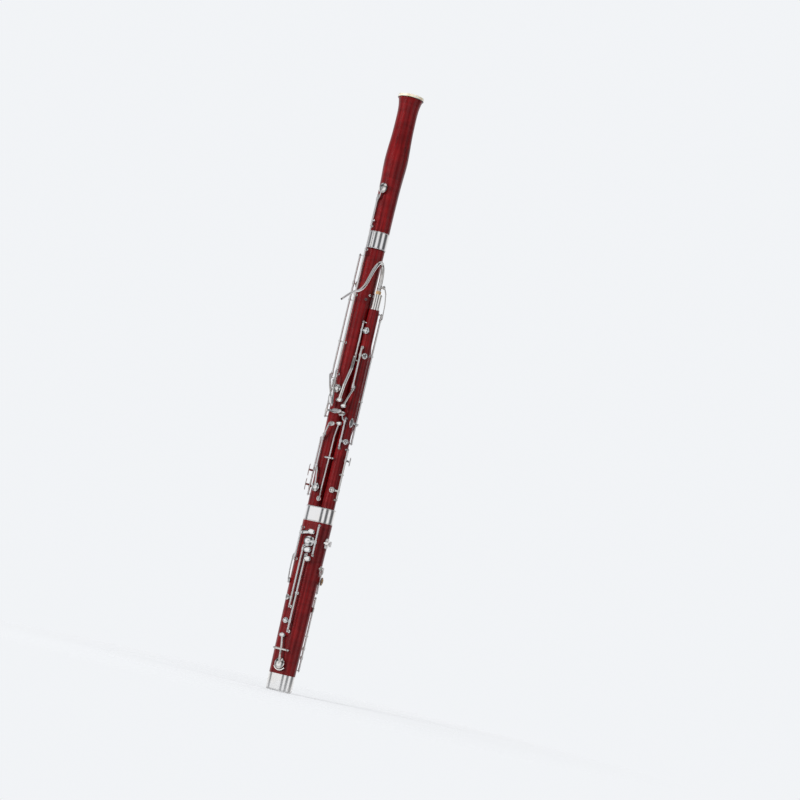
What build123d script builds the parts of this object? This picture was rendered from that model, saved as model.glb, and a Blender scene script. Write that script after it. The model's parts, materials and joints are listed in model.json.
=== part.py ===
"""Bassoon: four wooden joints, bocal, bell and keywork, in millimetres, +Z up the instrument.

The origin is the centre of the boot cap's flat foot. The thumb side faces -Y, the finger side +Y,
the long joint stands at -X and the wing joint at +X.
"""

from build123d import *
import math
import os

# ---------------------------------------------------------------- driving dimensions
TOTAL_HEIGHT = 1340.0
JOINT_SPACING = 33.0
LONG_X = -JOINT_SPACING / 2
WING_X = JOINT_SPACING / 2

CAP_HEIGHT = 37.0
CAP_WALL = 1.2
CAP_FLOOR = 1.6
CAP_EDGE_R = 4.5
RING_LOW = 373.0
RING_TOP = 406.0
RING_WALL = 1.2
BOOT_FOOT_R, BOOT_HEAD_R = 20.5, 23.0
BOOT_FOOT_SPAN, BOOT_HEAD_SPAN = 19.0, 22.0

TENON_LENGTH = 34.0
CORK_THICKNESS = 0.8
LONG_LOW_R, LONG_HIGH_R = 16.5, 21.5
LONG_TOP = 985.0
LONG_TENON_R = 14.2
LONG_BORE_R, LONG_BORE_TOP_R = 11.4, 15.5
BELL_LOW = 986.0
BELL_TENON_R = 18.5
BELL_TENON_TOP = 1019.0
BELL_RING_LOW = 1333.0

WING_LOW_R, WING_HIGH_R = 14.8, 11.6
WING_TOP = 853.0
WING_TENON_R = 11.2
LINER_R, LINER_BORE_R = 7.6, 5.4
RECEIVER_TOP = 888.0
RECEIVER_R = 10.0
BOCAL_SOCKET_R = 6.0
BOCAL_TIP_R = 2.4

NARROW_BORE_R, WIDE_BORE_R = 8.0, 10.5

STEEL_R = 1.15
TUBE_BORE_R = 1.2
TUBE_R = 2.1
POST_R = 1.3
POST_HEAD_R = 2.6
POST_FLANGE_R = 2.9
END_GAP = 0.35
GUIDE_GAP = 0.3
SEAT_HEIGHT = 0.9
SEAT_GAP = 0.2
PAD_THICKNESS = 2.4
PAD_PROUD = 1.0
CUP_DOME = 1.8
CUP_TOP = PAD_THICKNESS + CUP_DOME
ARM_BEND_LIMIT = 14.0

os.makedirs("parts", exist_ok=True)


# ---------------------------------------------------------------- the wood's radii
def along(z, low_z, low_value, high_z, high_value):
    """Straight taper between two heights."""
    return low_value + (high_value - low_value) * (z - low_z) / (high_z - low_z)


def boot_r(z):
    return along(z, CAP_HEIGHT, BOOT_FOOT_R, RING_LOW, BOOT_HEAD_R)


def long_r(z):
    return along(z, RING_TOP, LONG_LOW_R, LONG_TOP, LONG_HIGH_R)


def wing_r(z):
    return along(z, RING_TOP, WING_LOW_R, WING_TOP, WING_HIGH_R)


def polar(centre_x, radius, theta, z):
    """A point round a vertical axis: theta turns from -Y towards +X, in degrees."""
    turn = math.radians(theta)
    return Vector(centre_x + radius * math.sin(turn), -radius * math.cos(turn), z)


def outward(theta):
    turn = math.radians(theta)
    return Vector(math.sin(turn), -math.cos(turn), 0)


def seat_plane(centre_x, wood_r, theta, z):
    """The plane of a closed pad's face, its Z axis pointing out of the wood."""
    height = wood_r + SEAT_HEIGHT + SEAT_GAP
    return Plane(origin=polar(centre_x, height, theta, z), x_dir=(0, 0, 1), z_dir=outward(theta))


def save(builder, label):
    builder.part.label = label
    export_step(builder.part, f"parts/{label}.step")


def save_part(part, label):
    part.label = label
    export_step(part, f"parts/{label}.step")


# ---------------------------------------------------------------- shapes added to the open builder
def add_round(x, y, low, high, radius, mode=Mode.ADD):
    """A vertical cylinder between two heights."""
    with Locations((x, y, (low + high) / 2)):
        Cylinder(radius, high - low, mode=mode)


def add_stadium(span, radius, low, high, mode=Mode.ADD):
    """A straight prism of stadium outline, centred on the boot's axis."""
    with BuildSketch(Plane.XY.offset(low)) as outline:
        SlotCenterToCenter(span, 2 * radius)
    extrude(outline.sketch, amount=high - low, mode=mode)


def bend_radius(corners):
    """The largest radius that every corner of a route has room for."""
    best = ARM_BEND_LIMIT
    for before, here, after in zip(corners, corners[1:], corners[2:]):
        into, out_of = here - before, after - here
        turn = math.radians(into.get_angle(out_of))
        best = min(best, 0.45 * min(into.length, out_of.length) / math.tan(turn / 2))
    return best


def add_arm(points, width, thickness, width_dir=(0, 0, 1)):
    """An oval-section arm along a route of straight runs and tangent arcs, its width along width_dir."""
    corners = [Vector(*p) for p in points]
    direction = (corners[1] - corners[0]).normalized()
    wide = Vector(*width_dir)
    wide = wide - direction * wide.dot(direction)
    with BuildSketch(Plane(origin=corners[0], x_dir=wide.normalized(), z_dir=direction)) as oval:
        Ellipse(width / 2, thickness / 2)
    if len(corners) == 2:
        extrude(oval.sketch, amount=(corners[1] - corners[0]).length)
        return
    with BuildLine() as route:
        FilletPolyline(*corners, radius=bend_radius(corners))
    sweep(oval.sketch, path=route.wire())


def add_plate(centre, normal, length_dir, length, width, thickness=1.8):
    """An oval touch plate with rounded edges, centred on its under face."""
    rim = thickness * 0.35
    base = Plane(origin=centre, x_dir=length_dir, z_dir=normal)
    with BuildSketch(base) as low:
        Ellipse(length / 2 - 0.6, width / 2 - 0.6)
    with BuildSketch(base.offset(rim)) as middle:
        Ellipse(length / 2, width / 2)
    with BuildSketch(base.offset(thickness * 0.8)) as high:
        Ellipse(length / 2 - 0.7, width / 2 - 0.7)
    with BuildSketch(base.offset(thickness * 1.15)) as crown:
        Ellipse(length * 0.34, width * 0.27)
    loft([low.sketch, middle.sketch])
    loft([middle.sketch, high.sketch])
    loft([high.sketch, crown.sketch])


def add_cup(plane, radius):
    """A domed key cup over a pad; the plane is the pad's face."""
    rim = radius
    recess = radius - 0.6
    side = Plane(origin=plane.origin, x_dir=plane.x_dir, z_dir=plane.x_dir.cross(plane.z_dir))
    with BuildSketch(side) as half:
        with BuildLine():
            Line((0, PAD_THICKNESS), (recess, PAD_THICKNESS))
            Line((recess, PAD_THICKNESS), (recess, PAD_PROUD))
            Line((recess, PAD_PROUD), (rim, PAD_PROUD))
            Line((rim, PAD_PROUD), (rim, PAD_THICKNESS - 0.3))
            ThreePointArc((rim, PAD_THICKNESS - 0.3), (rim * 0.72, PAD_THICKNESS + CUP_DOME * 0.62), (0, CUP_TOP))
            Line((0, CUP_TOP), (0, PAD_THICKNESS))
        make_face()
    revolve(half.sketch, axis=Axis(plane.origin, plane.z_dir))


def carve_recess(plane, radius):
    """Clears the room that a cup's pad fills."""
    with BuildSketch(plane.offset(-3)) as recess:
        Circle(radius - 0.6)
    extrude(recess.sketch, amount=3 + PAD_THICKNESS, mode=Mode.SUBTRACT)


def add_tube(rod, low, high, radius=TUBE_R):
    """A key's hinge tube with a collar at each end."""
    x, y = rod
    add_round(x, y, low, high, radius)
    for start in (low, high - 2.2):
        add_round(x, y, start, start + 2.2, radius + 0.35)


def drill_tube(rod, low, high):
    x, y = rod
    add_round(x, y, low - 1, high + 1, TUBE_BORE_R, mode=Mode.SUBTRACT)


def make_pad(plane, radius):
    """A leather pad that fills the cup's recess and stands proud of it."""
    with BuildPart(plane) as pad:
        Cylinder(radius - 0.65, PAD_THICKNESS, align=(Align.CENTER, Align.CENTER, Align.MIN))
        fillet(pad.faces().sort_by(Axis(plane.origin, plane.z_dir))[0].edges(), 0.45)
    return pad.part


def opening_sign(hinge, plane):
    """+1 where a positive turn about the hinge line lifts the pad off its seat, else -1."""
    arm = plane.origin - hinge.at(plane.origin.Z)
    return 1 if Vector(0, 0, 1).cross(arm).dot(plane.z_dir) > 0 else -1


def swing(part, hinge, plane, angle):
    """Open a part that was drawn closed, by an angle in degrees."""
    if not angle:
        return part
    line = Axis((hinge.rod[0], hinge.rod[1], 0), (0, 0, 1))
    return part.rotate(line, angle * opening_sign(hinge, plane))


def post_at(centre_x, wood_r, rod_r, theta, z):
    """A threaded post with a flange on the wood and a ball head round the hinge steel."""
    foot = polar(centre_x, wood_r - 3, theta, z)
    with BuildSketch(Plane(origin=foot, x_dir=(0, 0, 1), z_dir=outward(theta))) as shank:
        Circle(POST_R)
    extrude(shank.sketch, amount=rod_r - wood_r + 3)
    base = polar(centre_x, wood_r - 0.4, theta, z)
    with BuildSketch(Plane(origin=base, x_dir=(0, 0, 1), z_dir=outward(theta))) as flange:
        Circle(POST_FLANGE_R)
    extrude(flange.sketch, amount=1.3)
    with Locations(polar(centre_x, rod_r, theta, z)):
        Sphere(POST_HEAD_R)


def guide_at(centre_x, wood_r, rod_r, theta, z, tube_r=TUBE_R):
    """A post whose head is a ring that a long hinge tube turns in."""
    foot = polar(centre_x, wood_r - 3, theta, z)
    with BuildSketch(Plane(origin=foot, x_dir=(0, 0, 1), z_dir=outward(theta))) as shank:
        Circle(POST_R)
    extrude(shank.sketch, amount=rod_r - wood_r + 3)
    base = polar(centre_x, wood_r - 0.4, theta, z)
    with BuildSketch(Plane(origin=base, x_dir=(0, 0, 1), z_dir=outward(theta))) as flange:
        Circle(POST_FLANGE_R)
    extrude(flange.sketch, amount=1.3)
    head = polar(centre_x, rod_r, theta, z)
    add_round(head.X, head.Y, z - 1.6, z + 1.6, tube_r + GUIDE_GAP + 1.0)
    add_round(head.X, head.Y, z - 2, z + 2, tube_r + GUIDE_GAP, mode=Mode.SUBTRACT)


def tone_hole(centre_x, wood_r, theta, z, seat_r, hole_r, depth):
    """A flat-topped seat on the wood with its tone hole bored through."""
    foot = polar(centre_x, wood_r - 4, theta, z)
    with BuildSketch(Plane(origin=foot, x_dir=(0, 0, 1), z_dir=outward(theta))) as seat:
        Circle(seat_r)
    extrude(seat.sketch, amount=4 + SEAT_HEIGHT)
    bottom = polar(centre_x, wood_r - depth, theta, z)
    with BuildSketch(Plane(origin=bottom, x_dir=(0, 0, 1), z_dir=outward(theta))) as hole:
        Circle(hole_r)
    extrude(hole.sketch, amount=depth + SEAT_HEIGHT + 1, mode=Mode.SUBTRACT)


# ---------------------------------------------------------------- hinge lines and pads
class Hinge:
    """A vertical hinge line beside a joint, with the heights of its end posts."""

    def __init__(self, centre_x, wood, theta, rod_r, low, high, guides=()):
        self.centre_x, self.wood, self.theta, self.rod_r = centre_x, wood, theta, rod_r
        self.low, self.high, self.guides = low, high, guides
        point = polar(centre_x, rod_r, theta, 0)
        self.rod = (point.X, point.Y)
        self.tube_low = low + POST_HEAD_R + END_GAP
        self.tube_high = high - POST_HEAD_R - END_GAP

    def at(self, z):
        return Vector(self.rod[0], self.rod[1], z)

    def add_posts(self):
        for z in (self.low, self.high):
            post_at(self.centre_x, self.wood(z), self.rod_r, self.theta, z)
        for z in self.guides:
            guide_at(self.centre_x, self.wood(z), self.rod_r, self.theta, z)


class Station:
    """A tone hole's place: where its pad sits and how big it is."""

    def __init__(self, centre_x, wood, theta, z, cup_r, hole_r, depth):
        self.centre_x, self.theta, self.z = centre_x, theta, z
        self.wood_r = wood(z)
        self.cup_r, self.hole_r, self.depth = cup_r, hole_r, depth
        self.plane = seat_plane(centre_x, self.wood_r, theta, z)

    def top(self, lift=CUP_TOP - 0.9):
        return self.plane.origin + self.plane.z_dir * lift

    def rim_towards(self, hinge):
        """A point above the cup's rim, on the side of its hinge."""
        away = hinge.at(self.z) - self.plane.origin
        sideways = away - self.plane.z_dir * away.dot(self.plane.z_dir)
        return self.top(CUP_TOP - 0.5) + sideways.normalized() * self.cup_r * 0.9

    def bore(self):
        seat_r = self.cup_r - 1.3
        tone_hole(self.centre_x, self.wood_r, self.theta, self.z, seat_r, self.hole_r, self.depth)


def bell_r(z):
    return 22.7


HINGES = {
    "bell_bb": Hinge(LONG_X, bell_r, -20, 27.4, 1034, 1104),
    "low_bb": Hinge(LONG_X, long_r, -20, 26.9, 699, 981, (770, 878)),
    "low_b": Hinge(LONG_X, long_r, -60, 30.0, 690, 968, (772, 866)),
    "low_c": Hinge(LONG_X, long_r, -48, 24.4, 604, 684),
    "low_d": Hinge(LONG_X, long_r, -17, 23.4, 483, 564),
    "low_eb": Hinge(LONG_X, long_r, -80, 22.8, 430, 556),
    "high_a": Hinge(WING_X, wing_r, 6, 18.4, 670, 766),
    "high_c": Hinge(WING_X, wing_r, -36, 18.4, 736, 822),
    "whisper": Hinge(WING_X, wing_r, 128, 18.0, 556, 846, (650, 752)),
    "wing_cs": Hinge(WING_X, wing_r, 9, 18.4, 540, 606),
    "trill": Hinge(WING_X, wing_r, 74, 20.4, 428, 540, (484,)),
    "boot_bb": Hinge(-11.0, boot_r, -16, 30.2, 286, 356),
    "pancake_e": Hinge(11.0, boot_r, 22, 30.6, 300, 366),
    "thumb_fs": Hinge(-4.5, boot_r, 0, 28.6, 183, 317),
    "thumb_gs": Hinge(5.5, boot_r, 0, 28.6, 130, 299, (214,)),
    "g_key": Hinge(11.0, boot_r, 158, 29.6, 224, 276),
    "front_ab": Hinge(11.0, boot_r, 158, 29.6, 52, 212, (128,)),
}

STATIONS = {
    "bell_bb": Station(LONG_X, lambda z: 23.6, 0, 1121, 11.5, 7.5, 8),
    "low_b": Station(LONG_X, long_r, -108, 905, 11.0, 7.0, 8),
    "low_c": Station(LONG_X, long_r, 6, 667, 9.0, 6.0, 9),
    "low_d": Station(LONG_X, long_r, 5, 447, 9.6, 6.2, 9),
    "low_cs": Station(LONG_X, long_r, 46, 424, 6.0, 3.4, 9),
    "low_eb": Station(LONG_X, long_r, -124, 448, 9.0, 5.5, 9),
    "high_a": Station(WING_X, wing_r, 42, 748, 6.6, 2.6, 4.0),
    "high_c": Station(WING_X, wing_r, 2, 804, 7.4, 2.6, 3.0),
    "wing_cs": Station(WING_X, wing_r, 48, 556, 6.2, 2.6, 4.5),
    "trill": Station(WING_X, wing_r, 28, 448, 6.3, 3.0, 5.5),
    "boot_bb": Station(-11.0, boot_r, -40, 238, 6.2, 3.6, 9),
    "pancake_e": Station(6.0, boot_r, 0, 329, 12.0, 6.5, 13),
    "thumb_fs": Station(-11.0, boot_r, -16, 202, 6.2, 3.6, 10),
    "thumb_gs": Station(-8.5, boot_r, 0, 152, 6.2, 3.6, 10),
    "low_f": Station(3.0, boot_r, 0, 60, 12.0, 7.0, 9),
    "g_key": Station(11.0, boot_r, 124, 250, 9.6, 6.0, 12),
    "front_ab": Station(11.0, boot_r, 126, 186, 7.0, 4.0, 12),
}


# ---------------------------------------------------------------- wooden joints
def boot_body():
    """Stadium-section wood with the narrow and the wide bore side by side."""
    spigot = BOOT_FOOT_R - CAP_WALL - 0.1
    neck = BOOT_HEAD_R - RING_WALL - 0.05
    with BuildPart() as boot:
        with BuildSketch(Plane.XY.offset(CAP_HEIGHT)) as foot:
            SlotCenterToCenter(BOOT_FOOT_SPAN, 2 * BOOT_FOOT_R)
        with BuildSketch(Plane.XY.offset(RING_LOW)) as head:
            SlotCenterToCenter(BOOT_HEAD_SPAN, 2 * BOOT_HEAD_R)
        loft()
        add_stadium(BOOT_FOOT_SPAN, spigot, CAP_HEIGHT - 4, CAP_HEIGHT)
        add_stadium(BOOT_HEAD_SPAN, neck, RING_LOW, RING_TOP - RING_WALL)
        for key in ("boot_bb", "pancake_e", "thumb_fs", "thumb_gs", "low_f", "g_key", "front_ab"):
            STATIONS[key].bore()
        add_round(WING_X, 0, 0, 500, NARROW_BORE_R, mode=Mode.SUBTRACT)
        add_round(LONG_X, 0, 0, 500, WIDE_BORE_R, mode=Mode.SUBTRACT)
        socket_low = RING_TOP - TENON_LENGTH - 1
        add_round(WING_X, 0, socket_low, 500, WING_TENON_R + CORK_THICKNESS, mode=Mode.SUBTRACT)
        add_round(LONG_X, 0, socket_low, 500, LONG_TENON_R + CORK_THICKNESS, mode=Mode.SUBTRACT)
    save(boot, "boot_body")


def boot_metal():
    """Silver ring round the boot's head, and the cap over the U-tube at its foot."""
    with BuildPart() as ring:
        add_stadium(BOOT_HEAD_SPAN, BOOT_HEAD_R + 0.2, RING_LOW, RING_TOP)
        fillet(ring.faces().sort_by(Axis.Z)[-1].outer_wire().edges(), 0.7)
        add_stadium(BOOT_HEAD_SPAN, BOOT_HEAD_R - RING_WALL, RING_LOW - 1, RING_TOP - RING_WALL,
                    mode=Mode.SUBTRACT)
        for x, radius in ((WING_X, WING_TENON_R), (LONG_X, LONG_TENON_R)):
            add_round(x, 0, RING_LOW, RING_TOP + 1, radius + CORK_THICKNESS, mode=Mode.SUBTRACT)
    save(ring, "boot_ring")

    with BuildPart() as cap:
        with BuildSketch() as sole:
            SlotCenterToCenter(BOOT_FOOT_SPAN, 2 * BOOT_FOOT_R - 1.2)
        with BuildSketch(Plane.XY.offset(CAP_HEIGHT)) as rim:
            SlotCenterToCenter(BOOT_FOOT_SPAN, 2 * BOOT_FOOT_R + 0.6)
        loft()
        fillet(cap.faces().sort_by(Axis.Z)[0].edges(), CAP_EDGE_R)
        add_stadium(BOOT_FOOT_SPAN, BOOT_FOOT_R - 4, CAP_FLOOR, CAP_HEIGHT, mode=Mode.SUBTRACT)
        add_stadium(BOOT_FOOT_SPAN, BOOT_FOOT_R - CAP_WALL, CAP_EDGE_R + 1, CAP_HEIGHT + 1, mode=Mode.SUBTRACT)
    save(cap, "boot_cap")


U_PLATE_TOP = 32.0
U_CENTRE = 28.5
U_TUBE_R = 9.4
U_BORE_R = 8.3


def u_tube():
    """Brass bend that joins the two bores inside the cap, on a flange plate."""
    with BuildPart() as bend:
        with BuildLine() as course:
            left = Line((LONG_X, 0, U_PLATE_TOP), (LONG_X, 0, U_CENTRE))
            turn = ThreePointArc(left @ 1, (0, 0, U_CENTRE - JOINT_SPACING / 2), (WING_X, 0, U_CENTRE))
            Line(turn @ 1, (WING_X, 0, U_PLATE_TOP))
        with BuildSketch(Plane(origin=left @ 0, x_dir=(1, 0, 0), z_dir=(0, 0, -1))) as outer:
            Circle(U_TUBE_R)
        sweep()
        add_stadium(BOOT_FOOT_SPAN, BOOT_FOOT_R - CAP_WALL - 0.7, U_PLATE_TOP - 1.4, U_PLATE_TOP)
        with BuildSketch(Plane(origin=left @ 0, x_dir=(1, 0, 0), z_dir=(0, 0, -1))) as inner:
            Circle(U_BORE_R)
        sweep(path=course.wire(), mode=Mode.SUBTRACT)
    save(bend, "u_tube")


def long_joint():
    """Tapered wood with a tenon at each end and the wide bore."""
    with BuildPart() as wood:
        with BuildSketch(Plane.XZ) as half:
            with BuildLine():
                Polyline(
                    (LONG_X, RING_TOP - TENON_LENGTH),
                    (LONG_X + LONG_TENON_R, RING_TOP - TENON_LENGTH),
                    (LONG_X + LONG_TENON_R, RING_TOP),
                    (LONG_X + LONG_LOW_R - 0.6, RING_TOP),
                    (LONG_X + LONG_LOW_R, RING_TOP + 0.6),
                    (LONG_X + LONG_HIGH_R, LONG_TOP - 0.6),
                    (LONG_X + LONG_HIGH_R - 0.6, LONG_TOP),
                    (LONG_X + BELL_TENON_R - CORK_THICKNESS, LONG_TOP),
                    (LONG_X + BELL_TENON_R - CORK_THICKNESS, BELL_TENON_TOP),
                    (LONG_X, BELL_TENON_TOP),
                    close=True,
                )
            make_face()
        revolve(axis=Axis((LONG_X, 0, 0), (0, 0, 1)))
        for key in ("low_b", "low_c", "low_d", "low_cs", "low_eb"):
            STATIONS[key].bore()
        with BuildSketch(Plane.XY.offset(RING_TOP - TENON_LENGTH - 1)) as low:
            with Locations((LONG_X, 0)):
                Circle(LONG_BORE_R)
        with BuildSketch(Plane.XY.offset(BELL_TENON_TOP + 1)) as high:
            with Locations((LONG_X, 0)):
                Circle(LONG_BORE_TOP_R)
        loft(mode=Mode.SUBTRACT)
    save(wood, "long_joint_body")


FINGER_HOLES = (612.0, 668.0, 724.0)
WING_RISE = 19.0


def wing_joint():
    """Tapered wood with the wing that carries the slanting finger holes on the far side."""
    with BuildPart() as wood:
        with BuildSketch(Plane.XZ) as half:
            with BuildLine():
                Polyline(
                    (WING_X, RING_TOP - TENON_LENGTH),
                    (WING_X + WING_TENON_R, RING_TOP - TENON_LENGTH),
                    (WING_X + WING_TENON_R, RING_TOP),
                    (WING_X + WING_LOW_R - 0.6, RING_TOP),
                    (WING_X + WING_LOW_R, RING_TOP + 0.6),
                    (WING_X + WING_HIGH_R, WING_TOP),
                    (WING_X, WING_TOP),
                    close=True,
                )
            make_face()
        revolve(axis=Axis((WING_X, 0, 0), (0, 0, 1)))
        ridge = ((548, 2.0, 8.5), (600, WING_RISE, 8.0), (745, WING_RISE, 7.5), (800, 2.0, 7.0))
        for (low, low_y, low_r), (high, high_y, high_r) in zip(ridge, ridge[1:]):
            with BuildSketch(Plane.XY.offset(low)) as start:
                with Locations((WING_X, low_y / 2)):
                    SlotCenterToCenter(low_y, 2 * low_r, rotation=90)
            with BuildSketch(Plane.XY.offset(high)) as end:
                with Locations((WING_X, high_y / 2)):
                    SlotCenterToCenter(high_y, 2 * high_r, rotation=90)
            loft()
        for key in ("high_a", "high_c", "trill"):
            STATIONS[key].bore()
        add_round(WING_X, 0, RING_TOP - TENON_LENGTH - 1, WING_TOP + 1, LINER_R, mode=Mode.SUBTRACT)
        for z in FINGER_HOLES:
            slant = Vector(0, 1, 0.35).normalized()
            with BuildSketch(Plane(origin=(WING_X, 4, z), x_dir=(1, 0, 0), z_dir=slant)) as hole:
                Circle(2.8)
            extrude(hole.sketch, amount=40, mode=Mode.SUBTRACT)
    save(wood, "wing_joint_body")

    with BuildPart() as liner:
        add_round(WING_X, 0, RING_TOP - TENON_LENGTH, WING_TOP, LINER_R)
        add_round(WING_X, 0, RING_TOP - TENON_LENGTH - 1, WING_TOP + 1, LINER_BORE_R, mode=Mode.SUBTRACT)
    save(liner, "wing_liner")

    with BuildPart() as receiver:
        add_round(WING_X, 0, WING_TOP, RECEIVER_TOP, RECEIVER_R)
        add_round(WING_X, 0, RECEIVER_TOP - 3, RECEIVER_TOP, RECEIVER_R + 0.6)
        add_round(WING_X, 0, WING_TOP, WING_TOP + 2.5, WING_HIGH_R)
        add_round(WING_X, 0, WING_TOP - 1, WING_TOP + 6, LINER_BORE_R, mode=Mode.SUBTRACT)
        add_round(WING_X, 0, WING_TOP + 4, RECEIVER_TOP + 1, BOCAL_SOCKET_R, mode=Mode.SUBTRACT)
    save(receiver, "bocal_receiver")


def cork_linings():
    """Cork bands on the three tenons and the gasket under the brass bend's plate."""
    bands = (
        (LONG_X, LONG_TENON_R, RING_TOP - TENON_LENGTH + 5, RING_TOP - 5),
        (WING_X, WING_TENON_R, RING_TOP - TENON_LENGTH + 5, RING_TOP - 5),
        (LONG_X, BELL_TENON_R - CORK_THICKNESS, LONG_TOP + 5, BELL_TENON_TOP - 4),
    )
    with BuildPart() as corks:
        for x, radius, low, high in bands:
            add_round(x, 0, low, high, radius + CORK_THICKNESS)
        for x, radius, low, high in bands:
            add_round(x, 0, low - 1, high + 1, radius, mode=Mode.SUBTRACT)
        add_stadium(BOOT_FOOT_SPAN, BOOT_FOOT_R - CAP_WALL - 0.7, U_PLATE_TOP, CAP_HEIGHT - 4)
        for x in (LONG_X, WING_X):
            add_round(x, 0, U_PLATE_TOP - 1, CAP_HEIGHT, U_BORE_R, mode=Mode.SUBTRACT)
    save(corks, "cork_linings")


BELL_OUTLINE = ((22.6, 1025), (22.9, 1095), (24.4, 1150), (26.0, 1186), (25.2, 1212), (23.2, 1246),
                (22.4, 1285), (23.2, 1312), (27.4, BELL_RING_LOW))
FERRULE_TOP = 1025.0
FERRULE_WALL = 1.1


def bell():
    """Swelling bell with its ivory ring, silver ferrule and the bore flare."""
    with BuildPart() as wood:
        with BuildSketch(Plane.XZ) as half:
            with BuildLine():
                outline = Spline(*[(LONG_X + r, z) for r, z in BELL_OUTLINE])
                Line(outline @ 1, (LONG_X + 21.5, BELL_RING_LOW))
                inside = Spline((LONG_X + 21.5, BELL_RING_LOW), (LONG_X + 19.2, 1300), (LONG_X + 18.4, 1240),
                                (LONG_X + 17.4, 1120), (LONG_X + 16.4, BELL_TENON_TOP + 1))
                Line(inside @ 1, (LONG_X + BELL_TENON_R + 0.06, BELL_TENON_TOP + 1))
                Line((LONG_X + BELL_TENON_R + 0.06, BELL_TENON_TOP + 1),
                     (LONG_X + BELL_TENON_R + 0.06, BELL_LOW))
                Line((LONG_X + BELL_TENON_R + 0.06, BELL_LOW), (LONG_X + 21.8, BELL_LOW))
                Line((LONG_X + 21.8, BELL_LOW), (LONG_X + 21.8, FERRULE_TOP))
                Line((LONG_X + 21.8, FERRULE_TOP), outline @ 0)
            make_face()
        revolve(axis=Axis((LONG_X, 0, 0), (0, 0, 1)))
        station = STATIONS["bell_bb"]
        tone_hole(LONG_X, station.wood_r, station.theta, station.z, station.cup_r - 1.3, station.hole_r, 8)
    save(wood, "bell_body")

    with BuildPart() as ring:
        add_round(LONG_X, 0, BELL_RING_LOW, TOTAL_HEIGHT, 29.0)
        add_round(LONG_X, 0, BELL_RING_LOW - 1, TOTAL_HEIGHT + 1, 21.5, mode=Mode.SUBTRACT)
        fillet(ring.edges().filter_by(GeomType.CIRCLE), 1.8)
    save(ring, "bell_ring")

    with BuildPart() as ferrule:
        add_round(LONG_X, 0, BELL_LOW + 0.4, FERRULE_TOP, 21.8 + FERRULE_WALL)
        fillet(ferrule.edges().filter_by(GeomType.CIRCLE), 0.4)
        add_round(LONG_X, 0, BELL_LOW, FERRULE_TOP + 1, 21.8, mode=Mode.SUBTRACT)
    save(ferrule, "bell_ferrule")


# ---------------------------------------------------------------- bocal
BOCAL_PLANE_TURN = 5.0
NIPPLE_Z = 905.0
NIPPLE_REACH = 9.0
NIPPLE_TURN = 80.0
BOCAL_FOOT = 862.0
BOCAL_LINE = ((0, 900), (0.5, 920), (4, 940), (14, 953.5), (26, 954), (37, 946), (49, 931),
              (62, 909), (75, 889.5), (88, 879.5), (104, 872.5), (123, 865.5), (140, 856.5), (157, 846.2))
BOCAL_TIP_LENGTH = 12.0
BOCAL_FOOT_R = 4.9
BOCAL_WALL = 0.6


def bocal_point(reach, z):
    return polar(WING_X, reach, BOCAL_PLANE_TURN, z)


def reed_tip():
    """The middle of the bocal's parallel tip and the direction it points."""
    last, before = bocal_point(*BOCAL_LINE[-1]), bocal_point(*BOCAL_LINE[-2])
    direction = (last - before).normalized()
    return last + direction * BOCAL_TIP_LENGTH / 2, direction


def bocal():
    """The curved metal crook: a tapering tube with its cork and whisper nipple."""
    lead = outward(BOCAL_PLANE_TURN)
    points = [bocal_point(*p) for p in BOCAL_LINE]
    with BuildLine() as course:
        curve = Spline(*points, tangents=[(0, 0, 1), points[-1] - points[-2]])
    stations = [i / 20 for i in range(21)]

    def skin(extra):
        rings = []
        for t in stations:
            radius = BOCAL_FOOT_R + (BOCAL_TIP_R - BOCAL_FOOT_R) * t ** 0.85 + extra
            across = lead.cross(Vector(0, 0, 1))
            with BuildSketch(Plane(origin=curve @ t, x_dir=across, z_dir=curve % t)) as ring:
                Circle(radius)
            rings.append(ring.sketch)
        return rings

    tip = Plane(origin=curve @ 1, x_dir=lead.cross(Vector(0, 0, 1)), z_dir=curve % 1)
    with BuildPart() as tube:
        loft(skin(0.0))
        add_round(WING_X, 0, BOCAL_FOOT, BOCAL_LINE[0][1], BOCAL_FOOT_R)
        with BuildSketch(tip) as reed_seat:
            Circle(BOCAL_TIP_R)
        extrude(reed_seat.sketch, amount=BOCAL_TIP_LENGTH)
        loft(skin(-BOCAL_WALL), mode=Mode.SUBTRACT)
        add_round(WING_X, 0, BOCAL_FOOT - 1, BOCAL_LINE[0][1], BOCAL_FOOT_R - BOCAL_WALL, mode=Mode.SUBTRACT)
        extrude(skin(-BOCAL_WALL)[-1], amount=BOCAL_TIP_LENGTH + 1, mode=Mode.SUBTRACT)
    save(tube, "bocal_tube")

    with BuildPart() as cork:
        add_round(WING_X, 0, 870, 896, BOCAL_SOCKET_R - 0.05)
        add_round(WING_X, 0, 869, 897, 4.95, mode=Mode.SUBTRACT)
        fillet(cork.faces().sort_by(Axis.Z)[-1].outer_wire().edges(), 0.5)
    save(cork, "bocal_cork")

    with BuildPart() as nipple:
        start = polar(WING_X, 4.2, NIPPLE_TURN, NIPPLE_Z)
        with BuildSketch(Plane(origin=start, x_dir=(0, 0, 1), z_dir=outward(NIPPLE_TURN))) as stem:
            Circle(1.8)
        extrude(stem.sketch, amount=NIPPLE_REACH - 4.2)
        with BuildSketch(Plane(origin=start, x_dir=(0, 0, 1), z_dir=outward(NIPPLE_TURN))) as collar:
            Circle(3.0)
        extrude(collar.sketch, amount=2.2)
        with BuildSketch(Plane(origin=start, x_dir=(0, 0, 1), z_dir=outward(NIPPLE_TURN))) as vent:
            Circle(0.7)
        extrude(vent.sketch, amount=20, mode=Mode.SUBTRACT)
    save(nipple, "bocal_nipple")




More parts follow.
